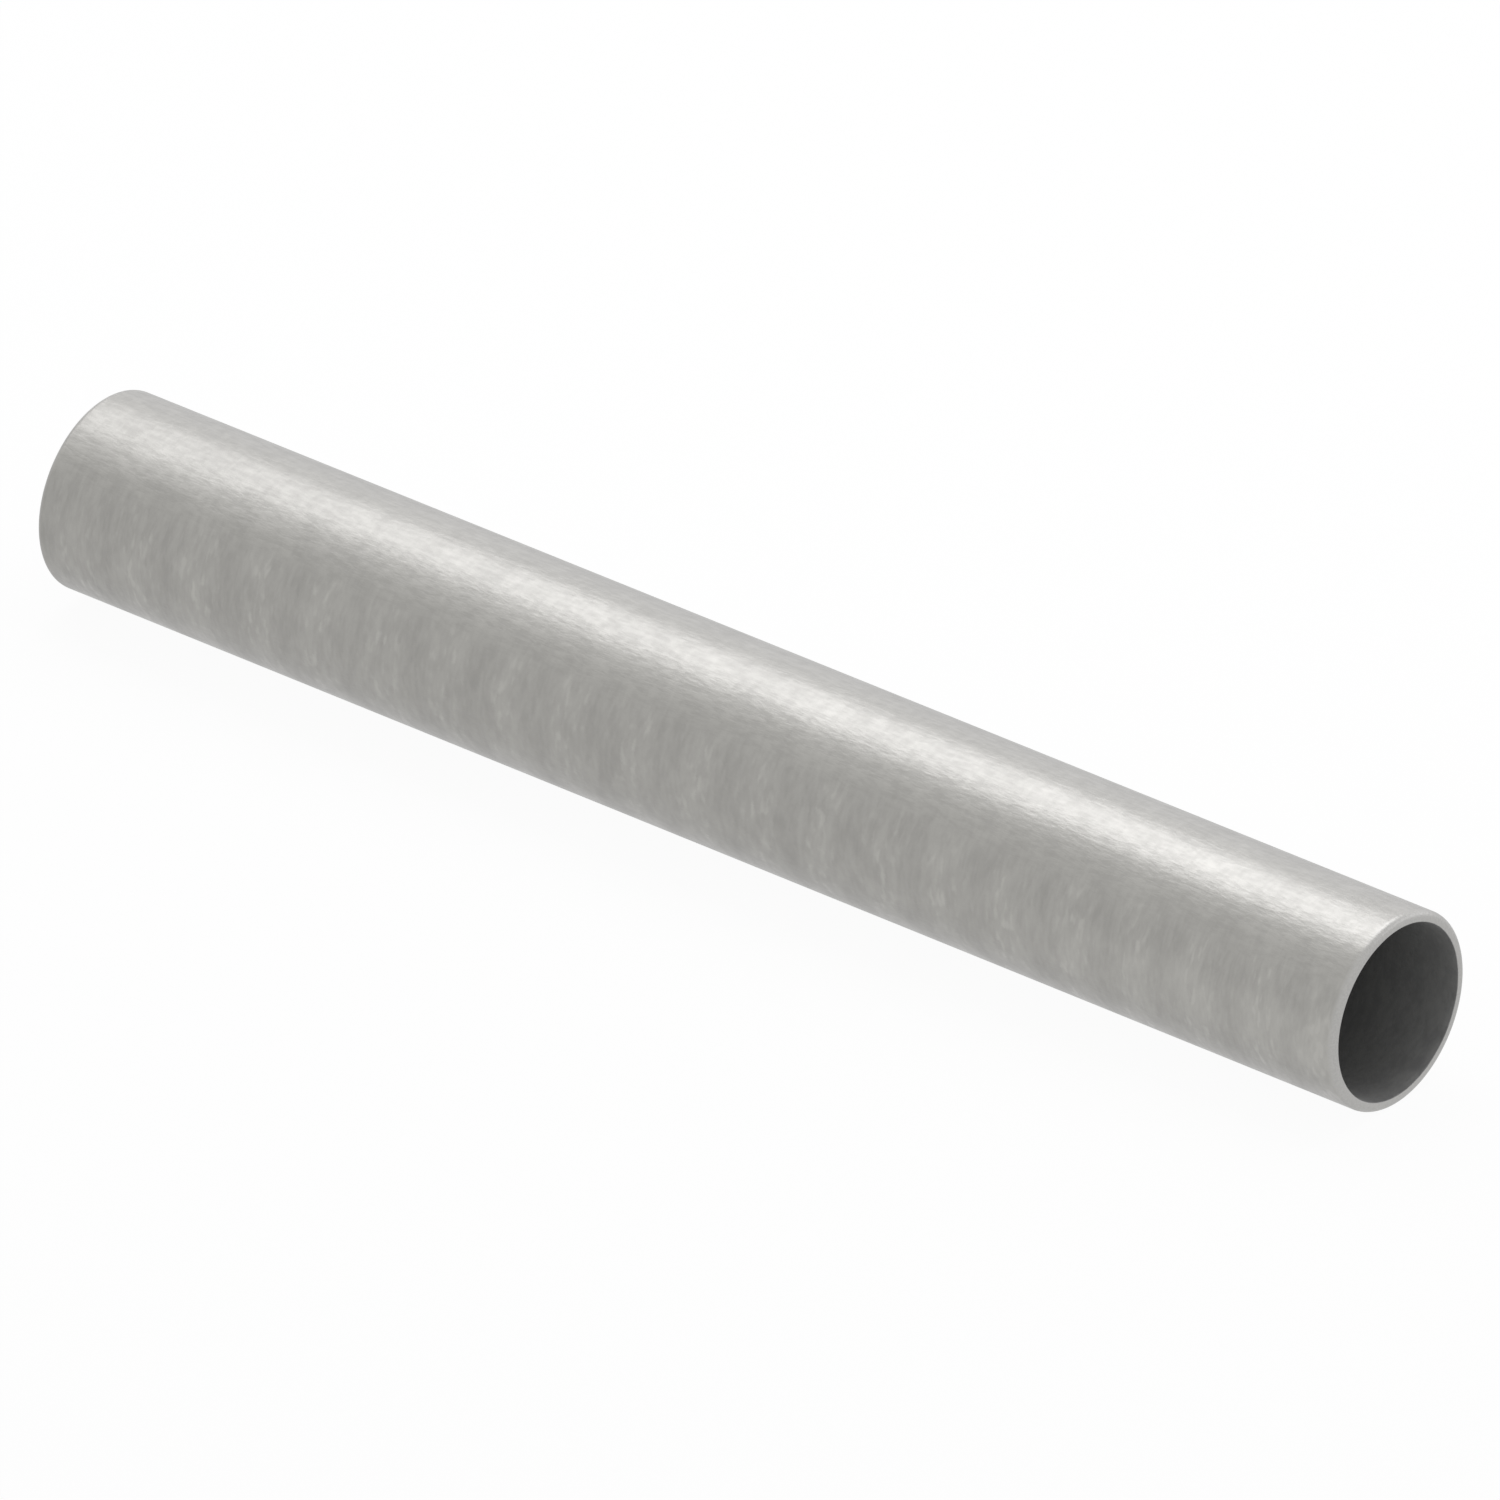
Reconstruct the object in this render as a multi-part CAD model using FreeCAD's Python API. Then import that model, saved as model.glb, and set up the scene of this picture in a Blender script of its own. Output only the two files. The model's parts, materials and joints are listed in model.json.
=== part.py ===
"""A length of round stainless steel tube, open at both ends, lying along X.

It is one piece: a plain wall round a through bore, with the end edges rounded. The origin is
on the tube's axis, half way along it.
"""

import FreeCAD, Part
import math
import os

# Driving dimensions, in millimetres
OUTER_DIAMETER = 38.1
WALL = 2.1
LENGTH = 300.0

# Rounds on both cut ends: the outside edge is rolled over, the bore's edge only loses its burr
OUTER_EDGE_ROUND = 1.2
BORE_EDGE_ROUND = 0.1

# The least share of the wall that the two rounds leave as a flat end face
LEAST_FLAT_SHARE = 0.1

outer_radius = OUTER_DIAMETER / 2
bore_radius = outer_radius - WALL
room_for_rounds = WALL * (1 - LEAST_FLAT_SHARE)
bore_round = min(BORE_EDGE_ROUND, room_for_rounds / 2)
outer_round = min(OUTER_EDGE_ROUND, room_for_rounds - bore_round)

PARTS_FOLDER = "parts"
LEFT_END = FreeCAD.Vector(-LENGTH / 2, 0, 0)
ALONG_THE_AXIS = FreeCAD.Vector(1, 0, 0)


def bar(radius):
    """A round bar as long as the tube and on its axis."""
    return Part.makeCylinder(radius, LENGTH, LEFT_END, ALONG_THE_AXIS)


def end_edges(shape, radius):
    """The circles of this radius, one at each end of the shape."""
    circles = [edge for edge in shape.Edges if isinstance(edge.Curve, Part.Circle)]
    return [edge for edge in circles if math.isclose(edge.Curve.Radius, radius)]


def tube():
    """The wall between the outside and the bore, with its end edges rounded."""
    wall = bar(outer_radius).cut(bar(bore_radius))
    wall = wall.makeFillet(outer_round, end_edges(wall, outer_radius))
    return wall.makeFillet(bore_round, end_edges(wall, bore_radius))


def write_node(name, shape):
    """Writes one piece to its own file, and stops if it isn't a single sound solid."""
    if len(shape.Solids) != 1 or not shape.isValid():
        raise ValueError(f"{name} isn't one sound solid")
    solid = shape.Solids[0]
    solid.exportStep(os.path.join(PARTS_FOLDER, f"{name}.step"))
    print(f"{name}: {solid.Volume:.1f} cubic mm, {len(solid.Faces)} faces")


os.makedirs(PARTS_FOLDER, exist_ok=True)
write_node("tube", tube())
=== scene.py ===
import json
import math

import bpy
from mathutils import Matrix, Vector


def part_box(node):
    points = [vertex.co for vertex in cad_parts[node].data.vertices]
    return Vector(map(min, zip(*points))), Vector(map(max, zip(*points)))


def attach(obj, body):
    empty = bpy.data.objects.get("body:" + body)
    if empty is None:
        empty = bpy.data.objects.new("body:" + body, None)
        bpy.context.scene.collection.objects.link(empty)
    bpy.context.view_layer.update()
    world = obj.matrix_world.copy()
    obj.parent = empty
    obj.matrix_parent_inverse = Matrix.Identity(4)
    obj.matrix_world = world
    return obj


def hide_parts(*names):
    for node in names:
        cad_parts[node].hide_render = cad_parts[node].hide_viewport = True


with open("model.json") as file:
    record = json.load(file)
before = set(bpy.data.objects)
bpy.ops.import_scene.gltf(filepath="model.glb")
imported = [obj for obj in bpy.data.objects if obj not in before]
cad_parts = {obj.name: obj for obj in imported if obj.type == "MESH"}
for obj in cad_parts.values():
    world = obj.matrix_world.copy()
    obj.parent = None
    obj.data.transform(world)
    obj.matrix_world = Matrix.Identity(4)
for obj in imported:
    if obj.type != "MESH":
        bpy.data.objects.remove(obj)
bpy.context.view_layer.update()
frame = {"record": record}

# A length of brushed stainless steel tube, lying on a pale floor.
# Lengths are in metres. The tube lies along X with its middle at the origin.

MM = 0.001


class TubeSizes:
    """The tube's sizes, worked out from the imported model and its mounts."""

    def __init__(self):
        low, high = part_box("tube")
        mounts = {mount["name"]: mount["dims"] for mount in frame["record"]["mounts"]}
        bore = mounts["bore_right_end"]
        outside = mounts["outside"]
        self.length = high[0] - low[0]
        self.half_length = self.length / 2
        self.outer_radius = (high[2] - low[2]) / 2
        self.bore_radius = bore["r_mm"] * MM
        self.wall = self.outer_radius - self.bore_radius
        self.outer_round = self.half_length - outside["length_mm"] * MM / 2
        self.bore_round = self.half_length - bore["length_mm"] * MM / 2


tube_sizes = TubeSizes()

# The tube's surface. Its section is turned about the axis in small steps, so that the outline
# stays round in a close view. A loop just inside each end's round keeps the shading of the long
# walls straight. Points nearer to each other than SAME_PLACE count as being in one place.
TURN_STEPS = 288
OUTER_ROUND_STEPS = 14
BORE_ROUND_STEPS = 4
ROUND_PROFILE = 0.5
HOLDING_LOOP_GAP = 0.4 * MM
MERGE_DISTANCE = 0.001 * MM
SAME_PLACE = 0.01 * MM
SMOOTH_ANGLE = math.radians(40)

# The marks on the steel, each made by one noise. Width is its size along the tube and Length its
# size round it, so the brushed marks are longer than wide. The drawn marks run along the tube, and
# are wider than long. Shift moves a noise, so that no two are alike in the same place.
MARKS = {
    "fine": {"Width": 0.8 * MM, "Length": 3 * MM, "Slant": 0.02},
    "soft": {"Width": 1.8 * MM, "Length": 5.5 * MM, "Slant": -0.03, "Shift": 40.0},
    "deep": {
        "Width": 1.2 * MM, "Length": 3.5 * MM, "Detail": 1.0, "Shift": 80.0,
        "Low": 0.53, "High": 0.72,
    },
    "patches": {"Width": 8 * MM, "Length": 12 * MM, "Detail": 2.0, "Shift": 120.0},
    "drawn": {"Width": 3.2 * MM, "Length": 1.1 * MM, "Detail": 3.0, "Shift": 160.0},
}
BORE_PATCHES = {"Width": 2.4 * MM, "Length": 4.5 * MM, "Shift": 90.0}
NOISE_ROUGHNESS = 0.6

# The polishing belt worked on the side that faces this way, in front and below, and left a soft
# light ring at each of its steps along the tube. BELT_FADE is how squarely a place has to face
# that way for the belt to start to touch it, and to touch it fully.
BELT_SIDE = Vector((0, -0.94, -0.34))
BELT_FADE = (0.35, 0.75)
RING_PITCH = 14.45 * MM
FIRST_RING = -126.5 * MM
RING_WANDER = 1.2 * MM

# A painted reflection: a lighter stripe along the front, stronger towards the right end, that
# stands in for the brighter floor the steel reflects there.
PAINTED_REFLECTION_FROM = 20 * MM
PAINTED_REFLECTION_FACING = 0.93

# How much each mark lightens the steel, from its darkest at 0 to its lightest at 1, over the top
# and on the belt's side. Each starts from a base, so that with their marks they are equally light.
TOP_BASE = 0.155
TOP_SHARES = {"fine": 0.11, "soft": 0.14, "drawn": 0.3}
BELT_BASE = 0.06
BELT_SHARES = {"fine": 0.18, "soft": 0.26, "gathered": 0.4, "rings": 0.16}
# The painted reflection makes the steel lighter on the front towards the right end.
ALL_ROUND_SHARES = {"patches": 0.12, "painted_reflection": 0.26}

# How deep each mark is, as a share of the relief's whole depth.
RELIEF_SHARES = {"fine": 0.09, "soft": 0.06, "drawn": 0.9}
RELIEF_DEPTH = 0.028 * MM
BORE_RELIEF_DEPTH = 0.01 * MM

# The wear of the cut ends reaches a little past their round. It is full over the first part of
# its reach and then fades.
WEAR_REACH = 1.1 * tube_sizes.outer_round
WEAR_FULL_PART = 0.15
WEAR_UNEVENNESS = 0.15
EDGE_CHIPS_PER_METRE = 2500
EDGE_CHIPS_DETAIL = 4.0
EDGE_CHIPS_RANGE = (0.35, 0.65)

# The steel's darkest and lightest colour, and its roughness at each of the two.
BRUSHED_COLOURS = ((0.288, 0.283, 0.269, 1.0), (0.408, 0.401, 0.38, 1.0))
BRUSHED_ROUGHNESS = (0.43, 0.36)
WORN_COLOURS = ((0.39, 0.386, 0.374, 1.0), (0.435, 0.43, 0.417, 1.0))
WORN_ADDED_ROUGHNESS = 0.05
# The bore's colours are darker than the outside's: painted shade inside the tube.
BORE_PAINTED_SHADE_COLOURS = ((0.24, 0.24, 0.238, 1.0), (0.335, 0.335, 0.329, 1.0))
BORE_ROUGHNESS = (0.74, 0.64)

# The highlight is drawn out across the marks, a quarter turn from the way round the tube.
BRUSHED_ANISOTROPY = 0.3
BORE_ANISOTROPY = 0.2
QUARTER_TURN = 0.25

# At a glancing angle the steel looks a little cooler.
EDGE_TINT = (0.985, 0.985, 1.0, 1.0)

# The camera stands where the photograph was taken from, a long way off with a long lens. The near
# half of the tube looks a little longer than the far half, so it aims a little past the middle.
CAMERA_AZIMUTH = math.radians(39.33)
CAMERA_ELEVATION = math.radians(29.6)
FRAME_WIDTH = 268.85 * MM
AIM_PAST_MIDDLE = 0.8 * MM
LENS_MM = 1600
SENSOR_MM = 36
CLIP_END_IN_DISTANCES = 10

# A white room. The white that the camera and the metal see has strength 1, and the room lights
# the floor a little less.
WHITE = (1.0, 1.0, 1.0, 1.0)
ROOM_LIGHT = 0.6

# Each lamp runs along the tube from its left end to its right end, and is turned about the tube's
# axis by its degrees from the horizon in front. White has brightness 1.
LAMP_DISTANCE = 0.6
LAMP_COLOUR = (0.967, 0.967, 1.0)
LAMPS = {
    "top lamp": {"left": -0.56, "right": 0.31, "width": 0.5, "degrees": 112, "brightness": 1.95},
    "back lamp": {"left": -1.6, "right": 0.35, "width": 0.27, "degrees": 161.5, "brightness": 0.5},
    "end lamp": {"left": -0.79, "right": -0.46, "width": 0.41, "degrees": 84, "brightness": 0.84},
    "right lamp": {"left": 0.35, "right": 1.1, "width": 0.3, "degrees": 172, "brightness": 0.95},
}

# The floor is nearly white to the camera, and what is left of its own colour keeps the shadow.
FLOOR_COLOUR = (0.8, 0.8, 0.8, 1.0)
FLOOR_WHITE_SHARE = 0.95
FLOOR_SIZE = 60


def select_at_height(mesh, height):
    """Selects only the vertices at this height, in vertex mode."""
    bpy.ops.mesh.select_mode(type="VERT")
    bpy.ops.mesh.select_all(action="DESELECT")
    bpy.ops.object.mode_set(mode="OBJECT")
    for vertex in mesh.vertices:
        vertex.select = abs(vertex.co.z - height) < SAME_PLACE
    bpy.ops.object.mode_set(mode="EDIT")


def add_wall_section():
    """The wall cut along the axis, above it: the outline of a long thin face with round corners."""
    size = tube_sizes
    middle_radius = (size.outer_radius + size.bore_radius) / 2
    bpy.ops.object.select_all(action="DESELECT")
    bpy.ops.mesh.primitive_plane_add(
        size=1, location=(0, 0, middle_radius), rotation=(math.pi / 2, 0, 0)
    )
    section = bpy.context.object
    section.scale = (size.length, size.wall, 1)
    bpy.ops.object.transform_apply(location=True, rotation=True, scale=True)
    bpy.ops.object.mode_set(mode="EDIT")
    corners = (
        (size.outer_radius, size.outer_round, OUTER_ROUND_STEPS),
        (size.bore_radius, size.bore_round, BORE_ROUND_STEPS),
    )
    for radius, corner_round, steps in corners:
        select_at_height(section.data, radius)
        bpy.ops.mesh.bevel(
            offset=corner_round, segments=steps, profile=ROUND_PROFILE, affect="VERTICES"
        )
    bpy.ops.mesh.select_all(action="SELECT")
    bpy.ops.mesh.delete(type="ONLY_FACE")
    return section


def turn_section():
    """Turns the section once about the axis, and adds the loops that keep the shading straight."""
    size = tube_sizes
    bpy.ops.mesh.select_all(action="SELECT")
    bpy.ops.mesh.spin(steps=TURN_STEPS, angle=2 * math.pi, center=(0, 0, 0), axis=(1, 0, 0))
    bpy.ops.mesh.select_all(action="SELECT")
    bpy.ops.mesh.remove_doubles(threshold=MERGE_DISTANCE)
    loop_place = size.half_length - size.outer_round - HOLDING_LOOP_GAP
    for place in (loop_place, -loop_place):
        bpy.ops.mesh.select_all(action="SELECT")
        bpy.ops.mesh.bisect(plane_co=(place, 0, 0), plane_no=(1, 0, 0))
    bpy.ops.mesh.select_all(action="SELECT")
    bpy.ops.mesh.normals_make_consistent(inside=False)
    bpy.ops.object.mode_set(mode="OBJECT")
    bpy.ops.object.shade_smooth_by_angle(angle=SMOOTH_ANGLE)


def make_tube():
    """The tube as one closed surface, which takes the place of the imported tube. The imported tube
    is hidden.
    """
    tube = add_wall_section()
    turn_section()
    tube.name = "brushed_tube"
    tube.data.name = "brushed_tube"
    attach(tube, "root")
    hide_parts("tube")
    return tube


class Nodes:
    """Adds and links the nodes of one material, group or world."""

    def __init__(self, tree):
        self.tree = tree

    def feed(self, socket, value):
        """Links an output to the socket, or sets the socket to a constant."""
        if isinstance(value, bpy.types.NodeSocket):
            self.tree.links.new(value, socket)
        else:
            socket.default_value = value

    def add(self, kind, settings=(), **inputs):
        """A node with these settings. An input's name has _ where the socket's has a space."""
        node = self.tree.nodes.new(kind)
        for name, value in dict(settings).items():
            setattr(node, name, value)
        for name, value in inputs.items():
            self.feed(node.inputs[name.replace("_", " ")], value)
        return node

    def use(self, group, **inputs):
        """A group's node."""
        return self.add("ShaderNodeGroup", {"node_tree": group}, **inputs)

    def maths(self, operation, first, second=0.0):
        node = self.add("ShaderNodeMath", {"operation": operation})
        self.feed(node.inputs[0], first)
        self.feed(node.inputs[1], second)
        return node.outputs[0]

    def add_shares(self, base, values, shares):
        """The base, and on top of it each named value times its share."""
        total = base
        for name, share in shares.items():
            total = self.maths("ADD", total, self.maths("MULTIPLY", values[name], share))
        return total

    def remap(self, value, from_range, to_range=(0.0, 1.0)):
        """Takes one range smoothly to another, and stops at its ends."""
        node = self.add("ShaderNodeMapRange", {"interpolation_type": "SMOOTHSTEP"})
        for socket, number in zip(node.inputs, (value, *from_range, *to_range)):
            self.feed(socket, number)
        return node.outputs["Result"]

    def noise(self, place, scale, detail):
        node = self.add(
            "ShaderNodeTexNoise", {"noise_dimensions": "3D"},
            Vector=place, Scale=scale, Detail=detail, Roughness=NOISE_ROUGHNESS,
        )
        return node.outputs[0]

    def mix_colours(self, share, colours):
        """The first colour where the share is 0, and the second where it is 1."""
        node = self.add("ShaderNodeMix", {"data_type": "RGBA"})
        self.feed(node.inputs[0], share)
        # The node has sockets for every kind of value. These three are the ones for colours.
        first, second, mixed = node.inputs[6], node.inputs[7], node.outputs[2]
        self.feed(first, colours[0])
        self.feed(second, colours[1])
        return mixed


def new_group(name, inputs, outputs):
    """An empty group with named sockets, and its input and output nodes.

    An input with a default of None is a vector, and the others are numbers."""
    group = bpy.data.node_groups.new(name, "ShaderNodeTree")
    for socket_name, default in inputs.items():
        kind = "NodeSocketVector" if default is None else "NodeSocketFloat"
        socket = group.interface.new_socket(socket_name, in_out="INPUT", socket_type=kind)
        if default is not None:
            socket.default_value = default
    for socket_name in outputs:
        group.interface.new_socket(socket_name, in_out="OUTPUT", socket_type="NodeSocketFloat")
    nodes = Nodes(group)
    return nodes, nodes.add("NodeGroupInput").outputs, nodes.add("NodeGroupOutput").inputs


def grain_group():
    """Marks round the tube or along it, as one noise that is drawn out one way.

    Slant turns them a little out of square with the axis. Streaks is 0 where the noise is under
    Low and 1 where it is over High, so a high pair leaves only a few marks."""
    nodes, given, result = new_group(
        "round grain",
        {
            "Place": None, "Width": 0.5 * MM, "Length": 8 * MM, "Slant": 0.0,
            "Detail": 3.0, "Shift": 0.0, "Low": 0.3, "High": 0.7,
        },
        ("Streaks",),
    )
    place = nodes.add("ShaderNodeSeparateXYZ", Vector=given["Place"]).outputs
    sideways = nodes.maths("ADD", place["Y"], place["Z"])
    slid = nodes.maths("ADD", place["X"], nodes.maths("MULTIPLY", sideways, given["Slant"]))
    along = nodes.maths("DIVIDE", slid, given["Width"])
    drawn_out = nodes.add(
        "ShaderNodeCombineXYZ",
        X=nodes.maths("ADD", along, given["Shift"]),
        Y=nodes.maths("DIVIDE", place["Y"], given["Length"]),
        Z=nodes.maths("DIVIDE", place["Z"], given["Length"]),
    )
    noise = nodes.noise(drawn_out.outputs[0], 1.0, given["Detail"])
    nodes.feed(result["Streaks"], nodes.remap(noise, (given["Low"], given["High"])))
    return nodes.tree


def edge_wear_group():
    """Handling marks on the cut ends.

    Wear is 1 on the cut end and fades out unevenly over the first Reach of the wall. Chips is
    the small unevenness itself, from 0 to 1."""
    nodes, given, result = new_group(
        "edge wear", {"Place": None, "Reach": 1.0 * MM, "Unevenness": 0.3}, ("Wear", "Chips")
    )
    along = nodes.add("ShaderNodeSeparateXYZ", Vector=given["Place"]).outputs["X"]
    from_middle = nodes.maths("ABSOLUTE", along)
    from_end = nodes.maths("SUBTRACT", tube_sizes.half_length, from_middle)
    reached = nodes.maths("DIVIDE", from_end, given["Reach"])
    noise = nodes.noise(given["Place"], EDGE_CHIPS_PER_METRE, EDGE_CHIPS_DETAIL)
    nodes.feed(result["Chips"], nodes.remap(noise, EDGE_CHIPS_RANGE))
    both_ways = nodes.maths("MULTIPLY", nodes.maths("SUBTRACT", noise, 0.5), 2.0)
    uneven = nodes.maths("MULTIPLY", both_ways, given["Unevenness"])
    uneven_reached = nodes.maths("ADD", reached, uneven)
    wear = nodes.remap(uneven_reached, (WEAR_FULL_PART, 1.0), (1.0, 0.0))
    nodes.feed(result["Wear"], wear)
    return nodes.tree


def new_material(name):
    """An empty material, and its nodes."""
    material = bpy.data.materials.new(name)
    material.use_nodes = True
    material.node_tree.nodes.clear()
    return material, Nodes(material.node_tree)


def steel_shader(nodes, colour, roughness, anisotropy, relief, relief_depth):
    """Bare metal whose highlight spreads across marks that run round the tube."""
    bump = nodes.add("ShaderNodeBump", Strength=1.0, Distance=relief_depth, Height=relief)
    round_tube = nodes.add("ShaderNodeTangent", {"direction_type": "RADIAL", "axis": "X"})
    steel = nodes.add(
        "ShaderNodeBsdfPrincipled",
        Metallic=1.0,
        Specular_Tint=EDGE_TINT,
        Base_Color=colour,
        Roughness=roughness,
        Anisotropic=anisotropy,
        Anisotropic_Rotation=QUARTER_TURN,
        Tangent=round_tube.outputs[0],
        Normal=bump.outputs[0],
    )
    nodes.add("ShaderNodeOutputMaterial", Surface=steel.outputs[0])


def belt_share(nodes, place):
    """1 on the side that the polishing belt worked on, and 0 over the top and the back."""
    facing = nodes.add("ShaderNodeVectorMath", {"operation": "DOT_PRODUCT"})
    nodes.feed(facing.inputs[0], place)
    nodes.feed(facing.inputs[1], BELT_SIDE / tube_sizes.outer_radius)
    return nodes.remap(facing.outputs["Value"], BELT_FADE)


def polishing_rings(nodes, along, wander):
    """1 on a ring and 0 half way to the next one, with a smooth wave between."""
    wandered = nodes.maths("ADD", along, nodes.maths("MULTIPLY", wander, RING_WANDER))
    past_first = nodes.maths("SUBTRACT", wandered, FIRST_RING)
    turns = nodes.maths("MULTIPLY", nodes.maths("DIVIDE", past_first, RING_PITCH), 2 * math.pi)
    half_wave = nodes.maths("MULTIPLY", nodes.maths("COSINE", turns), 0.5)
    return nodes.maths("ADD", half_wave, 0.5)


def painted_reflection_stripe(nodes, along, across):
    """1 on the front at the right end, where a lighter stripe is painted in as a reflection of the
    brighter floor, and 0 elsewhere.
    """
    in_front = nodes.maths("DIVIDE", across, -tube_sizes.outer_radius)
    on_front = nodes.remap(in_front, (PAINTED_REFLECTION_FACING, 1.0))
    near_end = nodes.remap(along, (PAINTED_REFLECTION_FROM, tube_sizes.half_length))
    return nodes.maths("MULTIPLY", on_front, near_end)


def outside_material(grain, edge_wear):
    """The brushed outside and the rounded ends.

    Fine and soft scratches run round it, with a few deeper ones that gather on the polishing
    rings. Wide faint patches lie under them. The tube was drawn before, which left shallow waves
    along it that still show over the top."""
    material, nodes = new_material("brushed steel")
    place = nodes.add("ShaderNodeTexCoord").outputs["Object"]
    axes = nodes.add("ShaderNodeSeparateXYZ", Vector=place).outputs
    marks = {
        name: nodes.use(grain, Place=place, **values).outputs["Streaks"]
        for name, values in MARKS.items()
    }
    marks["rings"] = polishing_rings(nodes, axes["X"], marks["patches"])
    marks["gathered"] = nodes.maths("MULTIPLY", marks["deep"], marks["rings"])
    # A painted reflection: the front towards the right end is made lighter, as if it showed the
    # brighter floor.
    marks["painted_reflection"] = painted_reflection_stripe(nodes, axes["X"], axes["Y"])
    over_top = nodes.add_shares(TOP_BASE, marks, TOP_SHARES)
    under_belt = nodes.add_shares(BELT_BASE, marks, BELT_SHARES)
    marked = nodes.remap(belt_share(nodes, place), (0.0, 1.0), (over_top, under_belt))
    brushing = nodes.add_shares(marked, marks, ALL_ROUND_SHARES)
    worn = nodes.use(
        edge_wear, Place=place, Reach=WEAR_REACH, Unevenness=WEAR_UNEVENNESS
    ).outputs
    colour = nodes.mix_colours(worn["Wear"], (
        nodes.mix_colours(brushing, BRUSHED_COLOURS),
        nodes.mix_colours(worn["Chips"], WORN_COLOURS),
    ))
    brushed_roughness = nodes.remap(brushing, (0.0, 1.0), BRUSHED_ROUGHNESS)
    roughness = nodes.add_shares(brushed_roughness, worn, {"Wear": WORN_ADDED_ROUGHNESS})
    relief = nodes.add_shares(0.0, marks, RELIEF_SHARES)
    steel_shader(nodes, colour, roughness, BRUSHED_ANISOTROPY, relief, RELIEF_DEPTH)
    return material


def bore_material(grain):
    """The bore, rough as the tube was drawn, and darker in colour than the outside as painted shade
    inside the tube.
    """
    material, nodes = new_material("drawn bore with painted shade")
    place = nodes.add("ShaderNodeTexCoord").outputs["Object"]
    patches = nodes.use(grain, Place=place, **BORE_PATCHES).outputs["Streaks"]
    colour = nodes.mix_colours(patches, BORE_PAINTED_SHADE_COLOURS)
    roughness = nodes.remap(patches, (0.0, 1.0), BORE_ROUGHNESS)
    steel_shader(nodes, colour, roughness, BORE_ANISOTROPY, patches, BORE_RELIEF_DEPTH)
    return material


def finish_tube(tube):
    """Gives the bore and its deburred edges their own finish, with painted shade in its darker
    colour, and the rest the brushed one.
    """
    grain = grain_group()
    tube.data.materials.append(outside_material(grain, edge_wear_group()))
    tube.data.materials.append(bore_material(grain))
    bore_reach = tube_sizes.bore_radius + tube_sizes.bore_round
    for face in tube.data.polygons:
        from_axis = math.hypot(face.center.y, face.center.z)
        face.material_index = 1 if from_axis < bore_reach else 0


def seen_directly(nodes, camera_share=1.0):
    """1 where a reflection or glass looks at the surface, camera_share where the camera does, and
    0 for the light that the surface gives."""
    path = nodes.add("ShaderNodeLightPath").outputs
    by_camera = nodes.maths("MULTIPLY", path["Is Camera Ray"], camera_share)
    by_either = nodes.maths("MAXIMUM", by_camera, path["Is Glossy Ray"])
    return nodes.maths("MAXIMUM", by_either, path["Is Transmission Ray"])


def add_floor():
    """A plain pale floor under the tube."""
    bpy.ops.object.select_all(action="DESELECT")
    bpy.ops.mesh.primitive_plane_add(size=FLOOR_SIZE, location=(0, 0, -tube_sizes.outer_radius))
    floor = bpy.context.object
    floor.name = "floor"
    material, nodes = new_material("pale floor")
    matt = nodes.add("ShaderNodeBsdfDiffuse", Color=FLOOR_COLOUR)
    white = nodes.add("ShaderNodeEmission", Color=WHITE, Strength=1.0)
    mix = nodes.add("ShaderNodeMixShader", Fac=seen_directly(nodes, FLOOR_WHITE_SHARE))
    nodes.feed(mix.inputs[1], matt.outputs[0])
    nodes.feed(mix.inputs[2], white.outputs[0])
    nodes.add("ShaderNodeOutputMaterial", Surface=mix.outputs[0])
    material.cycles.emission_sampling = "NONE"
    floor.data.materials.append(material)


def light_world():
    """A white room all round, which lights the tube softly from every side."""
    world = bpy.data.worlds.new("white room")
    world.use_nodes = True
    nodes = Nodes(world.node_tree)
    background = world.node_tree.nodes["Background"]
    strength = nodes.maths("MAXIMUM", seen_directly(nodes), ROOM_LIGHT)
    nodes.feed(background.inputs["Color"], WHITE)
    nodes.feed(background.inputs["Strength"], strength)
    world.cycles.sampling_method = "NONE"
    bpy.context.scene.world = world


def add_lamp(name, left, right, width, degrees, brightness):
    """A long soft lamp beside the tube, that the tube shows as a bright stripe."""
    angle = math.radians(degrees)
    light = bpy.data.lights.new(name, "AREA")
    light.shape = "RECTANGLE"
    light.size = right - left
    light.size_y = width
    light.energy = brightness * math.pi * light.size * light.size_y
    light.color = LAMP_COLOUR
    lamp = bpy.data.objects.new(name, light)
    bpy.context.scene.collection.objects.link(lamp)
    middle = (left + right) / 2
    in_front = math.cos(angle) * LAMP_DISTANCE
    above = math.sin(angle) * LAMP_DISTANCE
    lamp.location = (middle, -in_front, above)
    lamp.rotation_euler = (math.pi / 2 - angle, 0, 0)
    lamp.visible_camera = False


def add_camera():
    """Looks at the tube from the photograph's direction."""
    back = Vector((
        math.sin(CAMERA_AZIMUTH) * math.cos(CAMERA_ELEVATION),
        -math.cos(CAMERA_AZIMUTH) * math.cos(CAMERA_ELEVATION),
        math.sin(CAMERA_ELEVATION),
    ))
    distance = FRAME_WIDTH * LENS_MM / SENSOR_MM
    aim = Vector((AIM_PAST_MIDDLE, 0, 0))
    data = bpy.data.cameras.new("camera")
    data.lens = LENS_MM
    data.sensor_width = SENSOR_MM
    data.clip_end = CLIP_END_IN_DISTANCES * distance
    camera = bpy.data.objects.new("camera", data)
    bpy.context.scene.collection.objects.link(camera)
    camera.location = aim + back * distance
    camera.rotation_mode = "QUATERNION"
    camera.rotation_quaternion = (-back).to_track_quat("-Z", "Y")
    bpy.context.scene.camera = camera


add_camera()
finish_tube(make_tube())
add_floor()
light_world()
for lamp_name, lamp_values in LAMPS.items():
    add_lamp(lamp_name, **lamp_values)
bpy.context.scene.view_settings.view_transform = "Standard"
